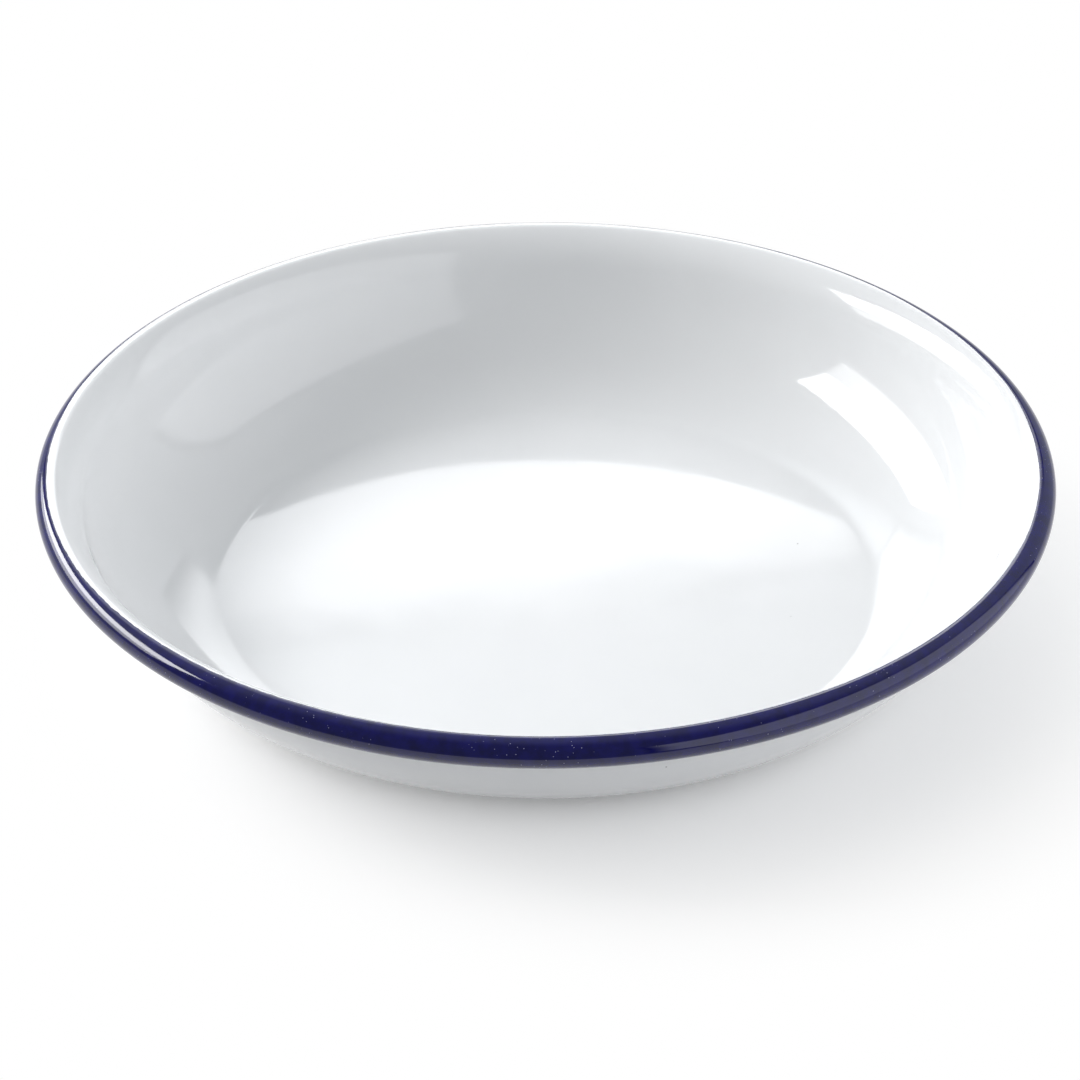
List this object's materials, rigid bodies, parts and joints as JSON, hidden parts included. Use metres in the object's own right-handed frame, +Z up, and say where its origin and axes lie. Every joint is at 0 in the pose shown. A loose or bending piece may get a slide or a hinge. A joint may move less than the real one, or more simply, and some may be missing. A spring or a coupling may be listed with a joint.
{
  "type": "enamel soup plate",
  "caption": "Round enamelled-steel soup plate with a flat floor, a curved wall that flares below the edge and a rolled dark blue rim, for serving soup or other wet food.",
  "frame": {"origin": "centre of the foot, on the surface that the plate stands on", "axes": "+Z up along the plate's axis of revolution; X and Y are in the plane of the table"},
  "size_m": [0.22, 0.22, 0.035],
  "materials": {
    "sheet_steel": "satin",
    "ground_enamel": "gloss",
    "white_enamel": "polished",
    "blue_enamel": "polished"
  },
  "bodies": {
    "root": {"steel_shell": "sheet_steel", "inner_ground_coat": "ground_enamel", "outer_ground_coat": "ground_enamel", "inner_white_enamel": "white_enamel", "outer_white_enamel": "white_enamel", "blue_rim_enamel": "blue_enamel"}
  },
  "joints": []
}
